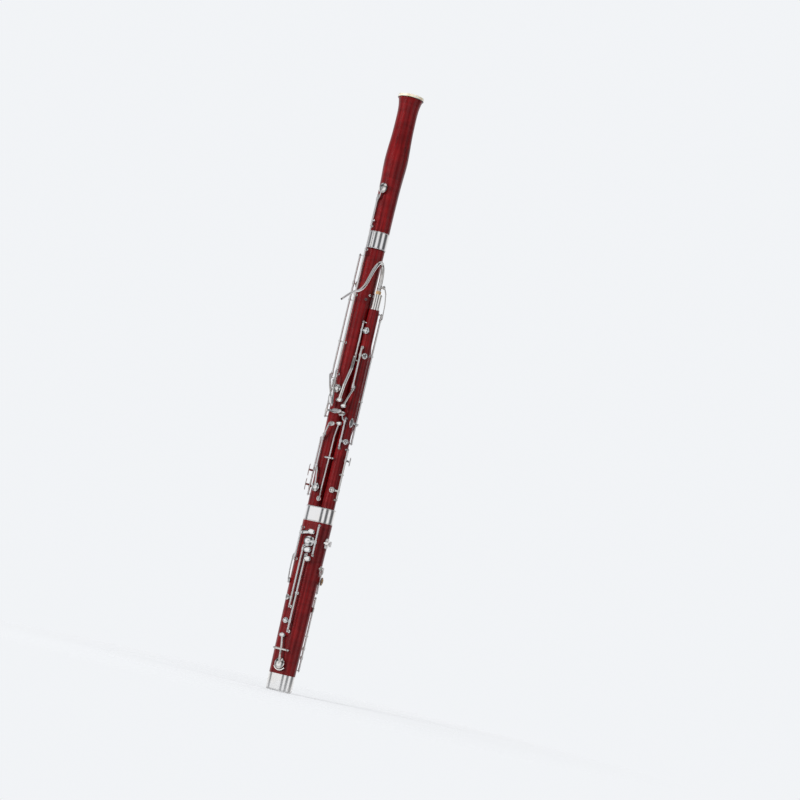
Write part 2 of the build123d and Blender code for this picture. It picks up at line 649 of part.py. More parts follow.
# ---------------------------------------------------------------- keys on vertical hinges
def finish_key(name, key, hinge, plane, cup_r):
    """Swing a key and its pad to where they rest, and write both."""
    angle = REST_OPENING.get(name, 0)
    save_part(swing(key, hinge, plane, angle), name)
    save_part(swing(make_pad(plane, cup_r), hinge, plane, angle), name.replace("_key", "") + "_pad")


def cup_arm(hinge, station, width=4.6, thickness=2.3):
    """Cup, arm and the saddle where the arm meets the hinge tube."""
    add_cup(station.plane, station.cup_r)
    add_arm([hinge.at(station.z), station.rim_towards(hinge), station.top()], width, thickness)
    add_saddle(hinge, station.z)
    carve_recess(station.plane, station.cup_r)


def add_saddle(hinge, z, half=3.4):
    add_round(hinge.rod[0], hinge.rod[1], z - half, z + half, TUBE_R + 0.8)


def beside(hinge, z, aside, lift=0.0):
    """A point beside the hinge line: aside is tangential, lift is away from the wood."""
    return hinge.at(z) + outward(hinge.theta + 90) * aside + outward(hinge.theta) * lift


REST_OPENING = {
    "bell_bb_key": 11.0,
    "low_bb_lever": 11.0,
    "low_b_key": 8.0,
    "low_c_key": 10.0,
    "low_d_key": 10.0,
    "whisper_key": 7.0,
    "pancake_e_key": 8.0,
    "g_key": 12.0,
}
BELL_TAB_Z = 1046.0
FINGER_OFFSET = 6.4
FINGER_LIFT = 3.2


def bell_bb_key():
    hinge, station = HINGES["bell_bb"], STATIONS["bell_bb"]
    with BuildPart() as key:
        add_tube(hinge.rod, hinge.tube_low, hinge.tube_high)
        add_cup(station.plane, station.cup_r)
        add_arm([beside(hinge, 1095, 0), beside(hinge, 1099, 6.5), station.top()], 4.6, 2.3)
        add_saddle(hinge, 1095)
        add_arm([hinge.at(BELL_TAB_Z), beside(hinge, BELL_TAB_Z, 9)], 4.4, 1.8)
        carve_recess(station.plane, station.cup_r)
        drill_tube(hinge.rod, hinge.tube_low, hinge.tube_high)
    finish_key("bell_bb_key", key.part, hinge, station.plane, station.cup_r)


def low_bb_lever():
    """Long lever from the left thumb to a finger that presses the bell key's tab."""
    hinge = HINGES["low_bb"]
    low, high = hinge.tube_low, hinge.tube_high
    with BuildPart() as key:
        add_tube(hinge.rod, low, high)
        corner = beside(hinge, 968, FINGER_OFFSET, FINGER_LIFT)
        add_arm([hinge.at(968), corner], 5.0, 2.0)
        add_arm([corner - Vector(0, 0, 2.4), corner + Vector(0, 0, BELL_TAB_Z - 966)], 3.4, 1.8,
                outward(hinge.theta + 90))
        touch = Vector(-8, -37.5, 644)
        add_arm([hinge.at(708), beside(hinge, 705, 5.5, 4.5), Vector(-14, -37.0, 672), touch], 4.2, 2.4, (1, 0, 0))
        add_saddle(hinge, 708)
        add_plate(touch - Vector(0, -0.5, 7), (0, -1, 0), (0.2, 0, -1), 26, 8)
        drill_tube(hinge.rod, low, high)
    save_part(swing(key.part, hinge, STATIONS["bell_bb"].plane, REST_OPENING["low_bb_lever"]), "low_bb_lever")


def low_b_key():
    hinge, station = HINGES["low_b"], STATIONS["low_b"]
    with BuildPart() as key:
        add_tube(hinge.rod, hinge.tube_low, hinge.tube_high)
        add_cup(station.plane, station.cup_r)
        add_arm([hinge.at(station.z), polar(LONG_X, 30.5, -84, station.z), station.top()], 4.6, 2.3)
        add_saddle(hinge, station.z)
        touch = Vector(-23, -38.5, 646)
        add_arm([hinge.at(700), beside(hinge, 696, 6.0, 5.0), Vector(-31, -37.0, 668), touch], 4.2, 2.4, (1, 0, 0))
        add_saddle(hinge, 700)
        add_plate(touch - Vector(0, -0.3, 7), (0, -1, 0), (0.25, 0, -1), 24, 9)
        carve_recess(station.plane, station.cup_r)
        drill_tube(hinge.rod, hinge.tube_low, hinge.tube_high)
    finish_key("low_b_key", key.part, hinge, station.plane, station.cup_r)


def low_c_key():
    hinge, station = HINGES["low_c"], STATIONS["low_c"]
    with BuildPart() as key:
        add_tube(hinge.rod, hinge.tube_low, hinge.tube_high)
        cup_arm(hinge, station, 5.0, 2.4)
        add_arm([hinge.at(616), Vector(-24, -26.8, 616), Vector(-8, -28.4, 616.5)], 4.4, 2.4)
        add_saddle(hinge, 616)
        add_plate((4.5, -28.4, 617), (0, -1, 0), (1, 0, 0.06), 32, 10.5, 2.2)
        drill_tube(hinge.rod, hinge.tube_low, hinge.tube_high)
    finish_key("low_c_key", key.part, hinge, station.plane, station.cup_r)


def low_d_key():
    hinge, station = HINGES["low_d"], STATIONS["low_d"]
    with BuildPart() as key:
        add_tube(hinge.rod, hinge.tube_low, hinge.tube_high)
        add_cup(station.plane, station.cup_r)
        add_arm([hinge.at(493), beside(hinge, 488, 6.0, 0.5), station.top()], 4.4, 2.4, outward(hinge.theta + 90))
        add_saddle(hinge, 493)
        add_arm([hinge.at(554), beside(hinge, 560, 5.8, 2.5), Vector(-10, -28.4, 586), Vector(-5, -28.6, 588)],
                4.2, 2.4, outward(hinge.theta + 90))
        add_saddle(hinge, 554)
        add_plate((-3, -28.2, 588), (0, -1, 0), (1, 0, 0.1), 19, 9.5)
        carve_recess(station.plane, station.cup_r)
        drill_tube(hinge.rod, hinge.tube_low, hinge.tube_high)
    finish_key("low_d_key", key.part, hinge, station.plane, station.cup_r)


def low_eb_key():
    """Key worked by the left little finger, its two touches standing off the wood."""
    hinge, station = HINGES["low_eb"], STATIONS["low_eb"]
    with BuildPart() as key:
        add_tube(hinge.rod, hinge.tube_low, hinge.tube_high)
        cup_arm(hinge, station)
        for z in (450, 482):
            foot = polar(LONG_X, 31.0, -66, z)
            add_arm([hinge.at(z), foot], 4.6, 2.6)
            add_plate(foot - outward(-66) * 0.6, outward(-66), (0, 0, 1), 27, 9)
        drill_tube(hinge.rod, hinge.tube_low, hinge.tube_high)
    finish_key("low_eb_key", key.part, hinge, station.plane, station.cup_r)


def high_c_key():
    """Octave key on the wing with a long curved lever down to the left thumb."""
    hinge, station = HINGES["high_c"], STATIONS["high_c"]
    with BuildPart() as key:
        add_tube(hinge.rod, hinge.tube_low, hinge.tube_high)
        cup_arm(hinge, station, 4.2, 2.2)
        touch = Vector(0.5, -31.5, 643)
        add_arm([hinge.at(748), beside(hinge, 744, 5.5, 3.5), Vector(9.5, -26, 716), Vector(3.5, -30, 678), touch],
                7.0, 2.2, (1, 0, 0))
        add_saddle(hinge, 748)
        add_plate(touch - Vector(0, -0.5, 1), (0, -1, 0), (1, 0, 0.05), 17, 9)
        drill_tube(hinge.rod, hinge.tube_low, hinge.tube_high)
    finish_key("high_c_key", key.part, hinge, station.plane, station.cup_r)


def high_a_key():
    hinge, station = HINGES["high_a"], STATIONS["high_a"]
    with BuildPart() as key:
        add_tube(hinge.rod, hinge.tube_low, hinge.tube_high)
        cup_arm(hinge, station, 4.2, 2.2)
        touch = Vector(12.5, -28.4, 632)
        add_arm([hinge.at(680), beside(hinge, 676, 5.6, 2.6), Vector(17.5, -25.6, 652), touch], 5.0, 2.2, (1, 0, 0))
        add_saddle(hinge, 680)
        add_plate(touch - Vector(0, -0.5, 1), (0, -1, 0), (1, 0, 0.05), 15, 9)
        drill_tube(hinge.rod, hinge.tube_low, hinge.tube_high)
    finish_key("high_a_key", key.part, hinge, station.plane, station.cup_r)


def wing_cs_key():
    """Closed key in the middle of the wing, with a touch among the other thumb touches."""
    hinge, station = HINGES["wing_cs"], STATIONS["wing_cs"]
    with BuildPart() as key:
        add_tube(hinge.rod, hinge.tube_low, hinge.tube_high)
        cup_arm(hinge, station, 4.2, 2.2)
        touch = Vector(11.5, -26.2, 615)
        add_arm([hinge.at(598), beside(hinge, 601, -4.0, 4.2), touch], 4.6, 2.2, (1, 0, 0))
        add_saddle(hinge, 598)
        add_plate(touch - Vector(0, -0.5, 1), (0, -1, 0), (1, 0, 0.1), 18, 10)
        drill_tube(hinge.rod, hinge.tube_low, hinge.tube_high)
    finish_key("wing_cs_key", key.part, hinge, station.plane, station.cup_r)


def whisper_plane():
    """The whisper pad's face, just clear of the nipple."""
    return Plane(origin=polar(WING_X, NIPPLE_REACH + SEAT_GAP, NIPPLE_TURN, NIPPLE_Z), x_dir=(0, 0, 1),
                 z_dir=outward(NIPPLE_TURN))


WHISPER_CUP_R = 4.6


def whisper_key():
    """Long rod on the wing's outer side that closes the nipple of the bocal."""
    hinge, face = HINGES["whisper"], whisper_plane()
    with BuildPart() as key:
        add_tube(hinge.rod, hinge.tube_low, hinge.tube_high)
        add_cup(face, WHISPER_CUP_R)
        top = face.origin + face.z_dir * (CUP_TOP - 0.8)
        add_arm([hinge.at(834), beside(hinge, 836, -6.0, 2.0), polar(WING_X, 20.5, 96, 868),
                 polar(WING_X, 18.5, 84, 892), top], 4.0, 2.4, outward(hinge.theta + 90))
        add_saddle(hinge, 834)
        touch = polar(WING_X, 26.0, 40, 598)
        add_arm([hinge.at(598), polar(WING_X, 25.0, 100, 598), polar(WING_X, 25.0, 66, 598), touch], 4.4, 2.4)
        add_saddle(hinge, 598)
        add_plate(touch - outward(36) * 0.8, outward(36), (0, 0, 1), 21, 8)
        carve_recess(face, WHISPER_CUP_R)
        drill_tube(hinge.rod, hinge.tube_low, hinge.tube_high)
    finish_key("whisper_key", key.part, hinge, face, WHISPER_CUP_R)


def trill_key():
    """Small key low on the wing, worked from the outer side."""
    hinge, station = HINGES["trill"], STATIONS["trill"]
    with BuildPart() as key:
        add_tube(hinge.rod, hinge.tube_low, hinge.tube_high)
        cup_arm(hinge, station, 4.2, 2.2)
        touch = polar(WING_X, 25.0, 104, 516)
        add_arm([hinge.at(516), touch], 4.4, 2.4)
        add_saddle(hinge, 516)
        add_plate(touch - outward(110) * 0.8, outward(110), (0, 0, 1), 20, 8)
        drill_tube(hinge.rod, hinge.tube_low, hinge.tube_high)
    finish_key("trill_key", key.part, hinge, station.plane, station.cup_r)


def boot_bb_key():
    hinge, station = HINGES["boot_bb"], STATIONS["boot_bb"]
    with BuildPart() as key:
        add_tube(hinge.rod, hinge.tube_low, hinge.tube_high)
        add_cup(station.plane, station.cup_r)
        add_arm([hinge.at(297), beside(hinge, 293, -6.0, 0.5), Vector(-27.5, -24, 262), station.top()], 4.0, 2.4,
                outward(hinge.theta + 90))
        add_saddle(hinge, 297)
        add_arm([hinge.at(344), Vector(-11, -34.0, 345), Vector(5, -34.4, 348.6)], 7.0, 2.4)
        add_saddle(hinge, 344)
        add_plate((9.4, -33.8, 349.5), (0, -1, 0), (1, 0, -0.05), 20, 10.5)
        carve_recess(station.plane, station.cup_r)
        drill_tube(hinge.rod, hinge.tube_low, hinge.tube_high)
    finish_key("boot_bb_key", key.part, hinge, station.plane, station.cup_r)


def pancake_e_key():
    """Large flat cup that the right thumb presses directly."""
    hinge, station = HINGES["pancake_e"], STATIONS["pancake_e"]
    with BuildPart() as key:
        add_tube(hinge.rod, hinge.tube_low, hinge.tube_high)
        cup_arm(hinge, station, 5.0, 2.6)
        drill_tube(hinge.rod, hinge.tube_low, hinge.tube_high)
    finish_key("pancake_e_key", key.part, hinge, station.plane, station.cup_r)


def thumb_fs_key():
    hinge, station = HINGES["thumb_fs"], STATIONS["thumb_fs"]
    with BuildPart() as key:
        add_tube(hinge.rod, hinge.tube_low, hinge.tube_high)
        cup_arm(hinge, station, 4.2, 2.2)
        add_arm([hinge.at(310), Vector(5, -32.4, 310)], 6.0, 2.6)
        add_saddle(hinge, 310)
        add_plate((9.2, -32.0, 310), (0, -1, 0), (1, 0, 0.05), 20, 12)
        drill_tube(hinge.rod, hinge.tube_low, hinge.tube_high)
    finish_key("thumb_fs_key", key.part, hinge, station.plane, station.cup_r)


def thumb_gs_key():
    hinge, station = HINGES["thumb_gs"], STATIONS["thumb_gs"]
    with BuildPart() as key:
        add_tube(hinge.rod, hinge.tube_low, hinge.tube_high)
        cup_arm(hinge, station, 4.2, 2.2)
        add_arm([hinge.at(290), Vector(11, -31.8, 291)], 6.0, 2.6)
        add_saddle(hinge, 290)
        add_plate((13.6, -31.4, 291), (0, -1, 0), (1, 0, 0.05), 19, 11.5)
        drill_tube(hinge.rod, hinge.tube_low, hinge.tube_high)
    finish_key("thumb_gs_key", key.part, hinge, station.plane, station.cup_r)


def g_key():
    """Open-standing key on the finger side, pressed by a plate on its own cup arm."""
    hinge, station = HINGES["g_key"], STATIONS["g_key"]
    with BuildPart() as key:
        add_tube(hinge.rod, hinge.tube_low, hinge.tube_high)
        cup_arm(hinge, station, 5.0, 2.6)
        drill_tube(hinge.rod, hinge.tube_low, hinge.tube_high)
    finish_key("g_key", key.part, hinge, station.plane, station.cup_r)


def front_ab_key():
    """Closed key on the finger side with two little finger plates at its foot."""
    hinge, station = HINGES["front_ab"], STATIONS["front_ab"]
    with BuildPart() as key:
        add_tube(hinge.rod, hinge.tube_low, hinge.tube_high)
        cup_arm(hinge, station, 4.4, 2.4)
        for z in (80, 100):
            add_arm([hinge.at(z), hinge.at(z) + Vector(-10, 4, 0)], 5.0, 2.6)
            add_saddle(hinge, z)
            add_plate(hinge.at(z) + Vector(-15, 3.6, 0), (0, 1, 0), (1, 0, 0), 21, 13, 2.2)
        drill_tube(hinge.rod, hinge.tube_low, hinge.tube_high)
    finish_key("front_ab_key", key.part, hinge, station.plane, station.cup_r)


# ---------------------------------------------------------------- see-saw keys on crosswise axles
CS_AXLE = Vector(2.0, -19.6, 515.0)
F_AXLE = Vector(0.0, -28.5, 90.0)
ACROSS = Vector(1, 0, 0)
F_HALF = 14.0
SEESAW_HALF = 6.0


def seesaw_hub(centre, across, half, radius=2.4):
    """The hinge tube of a see-saw key, crosswise to the joint."""
    start = centre - across * half
    with BuildSketch(Plane(origin=start, x_dir=(0, 0, 1), z_dir=across)) as tube:
        Circle(radius)
    extrude(tube.sketch, amount=2 * half)


def seesaw_drill(centre, across, half):
    start = centre - across * (half + 1)
    with BuildSketch(Plane(origin=start, x_dir=(0, 0, 1), z_dir=across)) as bore:
        Circle(TUBE_BORE_R)
    extrude(bore.sketch, amount=2 * half + 2, mode=Mode.SUBTRACT)


def low_cs_key():
    """See-saw lever down the valley between the joints, with a small closed pad."""
    station = STATIONS["low_cs"]
    with BuildPart() as key:
        seesaw_hub(CS_AXLE, ACROSS, SEESAW_HALF)
        add_cup(station.plane, station.cup_r)
        add_arm([station.top(), Vector(0.5, -19.5, 446), Vector(1.5, -20.4, 472), CS_AXLE], 3.2, 2.6, ACROSS)
        add_arm([CS_AXLE, Vector(3.5, -21.4, 560), Vector(8, -23.5, 584), Vector(9, -24.4, 593)], 3.2, 2.6, ACROSS)
        add_plate((9, -23.6, 592), (0, -1, 0), (1, 0, 0.1), 15, 8.5)
        carve_recess(station.plane, station.cup_r)
        seesaw_drill(CS_AXLE, ACROSS, SEESAW_HALF)
    save(key, "low_cs_key")
    save_part(make_pad(station.plane, station.cup_r), "low_cs_pad")


def low_f_key():
    """See-saw key with the big low cup at the foot of the boot."""
    station = STATIONS["low_f"]
    with BuildPart() as key:
        seesaw_hub(F_AXLE, ACROSS, F_HALF)
        add_cup(station.plane, station.cup_r)
        add_arm([station.top(3.6), Vector(2, -29.0, 76), F_AXLE], 5.0, 2.6, ACROSS)
        add_arm([F_AXLE, Vector(-2, -30, 104), Vector(-5, -31.4, 118)], 4.6, 2.6, ACROSS)
        add_plate((-6, -30.8, 120), (0, -1, 0), (1, 0, 0), 15, 9)
        carve_recess(station.plane, station.cup_r)
        seesaw_drill(F_AXLE, ACROSS, F_HALF)
    pivot = Axis(F_AXLE, ACROSS)
    save_part(key.part.rotate(pivot, F_OPEN), "low_f_key")
    save_part(make_pad(station.plane, station.cup_r).rotate(pivot, F_OPEN), "low_f_pad")


F_OPEN = -6.0


# ---------------------------------------------------------------- posts and hinge steels
def joint_posts(label, names, extras=()):
    with BuildPart() as posts:
        for name in names:
            HINGES[name].add_posts()
        for build in extras:
            build()
    save(posts, label)


def seesaw_posts(centre, half, foot_y):
    """Two ball posts that carry a crosswise steel; foot_y is where each shank ends in the wood."""
    for side in (-1, 1):
        head = centre + ACROSS * side * (half + POST_HEAD_R + END_GAP)
        with BuildSketch(Plane(origin=(head.X, foot_y, head.Z), x_dir=(0, 0, 1), z_dir=(0, -1, 0))) as shank:
            Circle(POST_R)
        extrude(shank.sketch, amount=foot_y - head.Y)
        with Locations(head):
            Sphere(POST_HEAD_R)


def cs_posts():
    seesaw_posts(CS_AXLE, SEESAW_HALF, -11.5)


def f_posts():
    seesaw_posts(F_AXLE, F_HALF, -15.0)


def steel(hinge):
    add_round(hinge.rod[0], hinge.rod[1], hinge.low - POST_HEAD_R - 0.4, hinge.high + POST_HEAD_R + 0.4, STEEL_R)


def cross_steel(centre, half):
    reach = half + 2 * POST_HEAD_R + END_GAP + 0.5
    with BuildSketch(Plane(origin=centre - ACROSS * reach, x_dir=(0, 0, 1), z_dir=ACROSS)) as rod:
        Circle(STEEL_R)
    extrude(rod.sketch, amount=2 * reach)


def hinge_steels():
    with BuildPart() as steels:
        for name, hinge in HINGES.items():
            if name != "bell_bb":
                steel(hinge)
        cross_steel(CS_AXLE, SEESAW_HALF)
        cross_steel(F_AXLE, F_HALF)
    save(steels, "hinge_steels")
    with BuildPart() as bell_steel:
        steel(HINGES["bell_bb"])
    save(bell_steel, "bell_steel")


# ---------------------------------------------------------------- fittings
HOLDER_Z = 332.0
SOCKET_OUT = 6.0
SOCKET_R = 2.6
SOCKET_LENGTH = 12.0
STRAP_Z = 276.0
STRAP_OUT = 4.2
STRAP_EAR_R = 3.6
STRAP_EYE_R = 2.3
STRAP_RING_R = 6.5
STRAP_WIRE_R = 1.15


def hand_rest_holder():
    """Small block with a socket and clamp screw for the right hand's crutch."""
    wall = BOOT_HEAD_SPAN / 2 + boot_r(HOLDER_Z)
    axis_x = wall + SOCKET_OUT
    with BuildPart() as holder:
        with BuildSketch(Plane(origin=(wall - 0.8, 0, HOLDER_Z), x_dir=(0, 1, 0), z_dir=(1, 0, 0))) as plate:
            RectangleRounded(13, 22, 3)
        extrude(amount=2.2)
        with Locations((wall, 0, HOLDER_Z)):
            Box(SOCKET_OUT + SOCKET_R + 1.8, 9, SOCKET_LENGTH, align=(Align.MIN, Align.CENTER, Align.CENTER))
        fillet(holder.edges().filter_by(Axis.Z), 0.8)
        add_round(axis_x, 0, HOLDER_Z - 10, HOLDER_Z + 10, SOCKET_R, mode=Mode.SUBTRACT)
        with Locations(Plane(origin=(axis_x, -4, HOLDER_Z), x_dir=(1, 0, 0), z_dir=(0, 1, 0))):
            Cylinder(SCREW_R + 0.05, 8, mode=Mode.SUBTRACT)
    save(holder, "hand_rest_holder")

    base = Plane(origin=(axis_x, -SOCKET_R - 0.1, HOLDER_Z), x_dir=(1, 0, 0), z_dir=(0, -1, 0))
    with BuildPart() as screw:
        with BuildSketch(base) as shank:
            Circle(SCREW_R)
        extrude(amount=7)
        with BuildSketch(base.offset(5)) as collar:
            Circle(2.8)
        extrude(amount=2.5)
        with BuildSketch(base.offset(7)) as wing:
            SlotCenterToCenter(8, 4)
        extrude(amount=2.4)
    save(screw, "hand_rest_screw")


SCREW_R = 1.55


def strap_ring():
    """Ring and lug for the neck strap."""
    wall = BOOT_HEAD_SPAN / 2 + boot_r(STRAP_Z)
    with BuildPart() as lug:
        with BuildSketch(Plane(origin=(wall - 1.5, 0, STRAP_Z), x_dir=(0, 1, 0), z_dir=(1, 0, 0))) as plate:
            Circle(5.5)
        extrude(plate.sketch, amount=2.6)
        with BuildSketch(Plane(origin=(wall, 0, STRAP_Z), x_dir=(0, 1, 0), z_dir=(1, 0, 0))) as ear:
            Circle(STRAP_EAR_R)
        extrude(ear.sketch, amount=7.4)
        with Locations(Plane(origin=(wall + STRAP_OUT, 0, STRAP_Z), x_dir=(1, 0, 0), z_dir=(0, 1, 0))):
            Cylinder(STRAP_EYE_R, 12, mode=Mode.SUBTRACT)
    save(lug, "strap_lug")

    with BuildPart() as ring:
        with Locations(Plane(origin=(wall + STRAP_OUT, 0, STRAP_Z - STRAP_RING_R), x_dir=(0, 1, 0), z_dir=(1, 0, 0))):
            Torus(STRAP_RING_R, STRAP_WIRE_R)
    save(ring, "strap_ring")


def pad_guard():
    """Adds the crescent guard that shields the low F cup."""
    station = STATIONS["low_f"]
    centre = Vector(station.centre_x, -station.wood_r, station.z)
    base = Plane(origin=centre, x_dir=(1, 0, 0), z_dir=(0, -1, 0))
    with BuildSketch(base.offset(3.4)) as bow:
        with BuildLine():
            outer = CenterArc((0, 0), GUARD_R + 1.1, 212, 116)
            inner = CenterArc((0, 0), GUARD_R - 1.1, 212, 116)
            Line(outer @ 0, inner @ 0)
            Line(outer @ 1, inner @ 1)
        make_face()
    extrude(bow.sketch, amount=1.6)
    for turn in (222, 318):
        across, up = math.cos(math.radians(turn)), math.sin(math.radians(turn))
        with BuildSketch(base.offset(-3)) as leg:
            with Locations((GUARD_R * across, GUARD_R * up)):
                Circle(1.3)
        extrude(leg.sketch, amount=7)


def guard_sockets():
    """Adds two small sleeves in the long joint, where a hand guard can be screwed on."""
    for theta, z in GUARD_SOCKETS:
        foot = polar(LONG_X, long_r(z) - 1.6, theta, z)
        with BuildSketch(Plane(origin=foot, x_dir=(0, 0, 1), z_dir=outward(theta))) as sleeve:
            Circle(2.9)
            Circle(1.4, mode=Mode.SUBTRACT)
        extrude(sleeve.sketch, amount=3.0)


GUARD_SOCKETS = ((63, 882.5), (43.5, 872.0))
GUARD_R = 15.0


# ---------------------------------------------------------------- build everything
def build_all():
    boot_body()
    boot_metal()
    u_tube()
    long_joint()
    wing_joint()
    cork_linings()
    bell()
    bocal()
    for make in (bell_bb_key, low_bb_lever, low_b_key, low_c_key, low_d_key, low_eb_key, low_cs_key, high_c_key,
                 high_a_key, wing_cs_key, whisper_key, trill_key, boot_bb_key, pancake_e_key, thumb_fs_key, thumb_gs_key,
                 low_f_key, g_key, front_ab_key):
        make()
    joint_posts("bell_posts", ["bell_bb"])
    joint_posts("key_posts", [name for name in HINGES if name != "bell_bb"],
                [cs_posts, f_posts, pad_guard, guard_sockets])
    hinge_steels()
    hand_rest_holder()
    strap_ring()


build_all()
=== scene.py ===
"""Bassoon: looks, small fittings, floor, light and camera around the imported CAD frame, in metres."""

import json
import math

import bmesh
import bpy
import numpy as np
from mathutils import Matrix, Vector


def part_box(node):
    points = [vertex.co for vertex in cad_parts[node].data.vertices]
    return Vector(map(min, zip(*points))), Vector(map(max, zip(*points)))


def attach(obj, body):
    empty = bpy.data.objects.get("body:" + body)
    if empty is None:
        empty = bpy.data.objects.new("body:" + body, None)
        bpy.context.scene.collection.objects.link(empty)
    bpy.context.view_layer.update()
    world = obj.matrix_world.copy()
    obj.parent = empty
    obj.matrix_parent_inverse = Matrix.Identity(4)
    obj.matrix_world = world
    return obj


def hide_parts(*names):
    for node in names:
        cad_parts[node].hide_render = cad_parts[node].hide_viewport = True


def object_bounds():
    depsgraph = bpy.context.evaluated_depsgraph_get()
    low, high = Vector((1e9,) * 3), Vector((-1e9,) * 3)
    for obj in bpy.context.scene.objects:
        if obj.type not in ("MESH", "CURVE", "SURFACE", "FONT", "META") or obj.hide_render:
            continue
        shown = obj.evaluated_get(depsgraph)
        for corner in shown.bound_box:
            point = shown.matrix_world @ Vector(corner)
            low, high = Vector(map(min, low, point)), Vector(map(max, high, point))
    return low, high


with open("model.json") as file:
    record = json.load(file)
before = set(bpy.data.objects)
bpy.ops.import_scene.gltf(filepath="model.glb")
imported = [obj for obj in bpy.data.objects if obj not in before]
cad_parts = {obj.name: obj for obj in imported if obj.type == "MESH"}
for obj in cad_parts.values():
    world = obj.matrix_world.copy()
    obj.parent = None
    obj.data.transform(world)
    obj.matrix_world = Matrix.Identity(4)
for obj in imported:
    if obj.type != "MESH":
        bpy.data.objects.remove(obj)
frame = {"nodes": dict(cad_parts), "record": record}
CAD_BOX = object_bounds()
NODES = frame["nodes"]
RECORD = frame["record"]
MM = 0.001
SLOT_OF = {part["node"]: part["material_slot"] for part in RECORD["subparts"]}
BODY_OF = {node: body for body, nodes in RECORD["behaviour"]["bodies"].items() for node in nodes}


# ---------------------------------------------------------------- materials
WHITE = (1.0, 1.0, 1.0)


def scaled(colour, factor):
    return tuple(factor * value for value in colour)


def add_node(tree, kind, **fields):
    """A new shader node with its fields set."""
    node = tree.nodes.new(kind)
    for field, value in fields.items():
        setattr(node, field, value)
    return node


def set_stops(node, stops):
    """Gives a colour ramp node its stops: (place, (r, g, b)) from low to high."""
    elements = node.color_ramp.elements
    while len(elements) < len(stops):
        elements.new(0.5)
    for element, (place, colour) in zip(elements, stops):
        element.position = place
        element.color = (*colour, 1)


def colour_sockets(sockets):
    """The colour sockets of a mix node, which also has hidden ones for plain numbers."""
    return [socket for socket in sockets if socket.type == "RGBA"]


class Shader:
    """A node material built step by step: each method adds nodes and returns an output socket."""

    def __init__(self, name, **settings):
        self.material = bpy.data.materials.new(name)
        self.material.use_nodes = True
        self.tree = self.material.node_tree
        self.surface = self.tree.nodes["Principled BSDF"]
        for socket, value in settings.items():
            self.surface.inputs[socket.replace("_", " ")].default_value = value
        self.place = self.add("ShaderNodeTexCoord").outputs["Object"]

    def add(self, kind, **fields):
        return add_node(self.tree, kind, **fields)

    def link(self, source, target):
        self.tree.links.new(source, target)

    def stretched(self, scale):
        """Object coordinates multiplied along each axis."""
        node = self.add("ShaderNodeMapping")
        node.inputs["Scale"].default_value = scale
        self.link(self.place, node.inputs["Vector"])
        return node.outputs["Vector"]

    def noise(self, scale, detail=4.0, roughness=0.55, stretch=(1, 1, 1), distortion=0.0):
        node = self.add("ShaderNodeTexNoise")
        node.inputs["Scale"].default_value = scale
        node.inputs["Detail"].default_value = detail
        node.inputs["Roughness"].default_value = roughness
        node.inputs["Distortion"].default_value = distortion
        self.link(self.stretched(stretch), node.inputs["Vector"])
        return node.outputs["Fac"]

    def cells(self, scale, feature="F1"):
        node = self.add("ShaderNodeTexVoronoi", feature=feature)
        node.inputs["Scale"].default_value = scale
        self.link(self.place, node.inputs["Vector"])
        return node.outputs["Distance"]

    def ramp(self, source, stops):
        """Colours by the value of the source."""
        node = self.add("ShaderNodeValToRGB")
        set_stops(node, stops)
        self.link(source, node.inputs["Fac"])
        return node.outputs["Color"]

    def spread(self, source, low, high, low_out, high_out):
        """A value remapped from one range to another."""
        node = self.add("ShaderNodeMapRange")
        limits = {"From Min": low, "From Max": high, "To Min": low_out, "To Max": high_out}
        for socket, value in limits.items():
            node.inputs[socket].default_value = value
        self.link(source, node.inputs["Value"])
        return node.outputs["Result"]

    def shaded(self, base, shade, amount):
        """The base colour multiplied by a shade, by a fixed amount."""
        node = self.add("ShaderNodeMix", data_type="RGBA", blend_type="MULTIPLY")
        for source, socket in zip((base, shade), colour_sockets(node.inputs)):
            self.link(source, socket)
        node.inputs[0].default_value = amount
        return colour_sockets(node.outputs)[0]

    def colour(self, source):
        self.link(source, self.surface.inputs["Base Color"])

    def rough(self, source):
        self.link(source, self.surface.inputs["Roughness"])

    def bump(self, height, distance, strength):
        node = self.add("ShaderNodeBump")
        node.inputs["Distance"].default_value = distance
        node.inputs["Strength"].default_value = strength
        self.link(height, node.inputs["Height"])
        self.link(node.outputs["Normal"], self.surface.inputs["Normal"])


def lacquered_maple():
    """Deep red stain on maple: long grain lines, cross-grain flame and mottle under a clear gloss coat."""
    wood = Shader("red lacquered maple", IOR=1.45, Specular_IOR_Level=0.25, Coat_Weight=0.30,
                  Coat_Roughness=0.20, Coat_IOR=1.4)
    grain = wood.noise(230, detail=6, roughness=0.6, stretch=(1, 1, 0.035), distortion=0.25)
    flame = wood.noise(26, detail=3, roughness=0.5, stretch=(0.55, 0.55, 2.6), distortion=0.9)
    mottle = wood.noise(9, detail=3, stretch=(1, 1, 0.5))
    pores = wood.noise(900, detail=2, roughness=0.5, stretch=(1, 1, 0.045))
    stain = wood.ramp(grain, [(0.28, (0.095, 0.0026, 0.0042)), (0.50, (0.185, 0.0050, 0.0066)),
                              (0.74, (0.290, 0.0085, 0.0095))])
    figure = wood.ramp(flame, [(0.34, (0.50, 0.44, 0.44)), (0.62, WHITE)])
    clouds = wood.ramp(mottle, [(0.35, (0.60, 0.50, 0.50)), (0.65, WHITE)])
    flecks = wood.ramp(pores, [(0.26, (0.30, 0.22, 0.22)), (0.36, WHITE)])
    wood.colour(wood.shaded(wood.shaded(wood.shaded(stain, figure, 0.55), clouds, 0.5), flecks, 0.6))
    wood.rough(wood.spread(grain, 0.3, 0.7, 0.34, 0.46))
    wood.bump(wood.noise(60, detail=2, stretch=(1, 1, 0.25)), 0.00006, 0.35)
    return wood.material


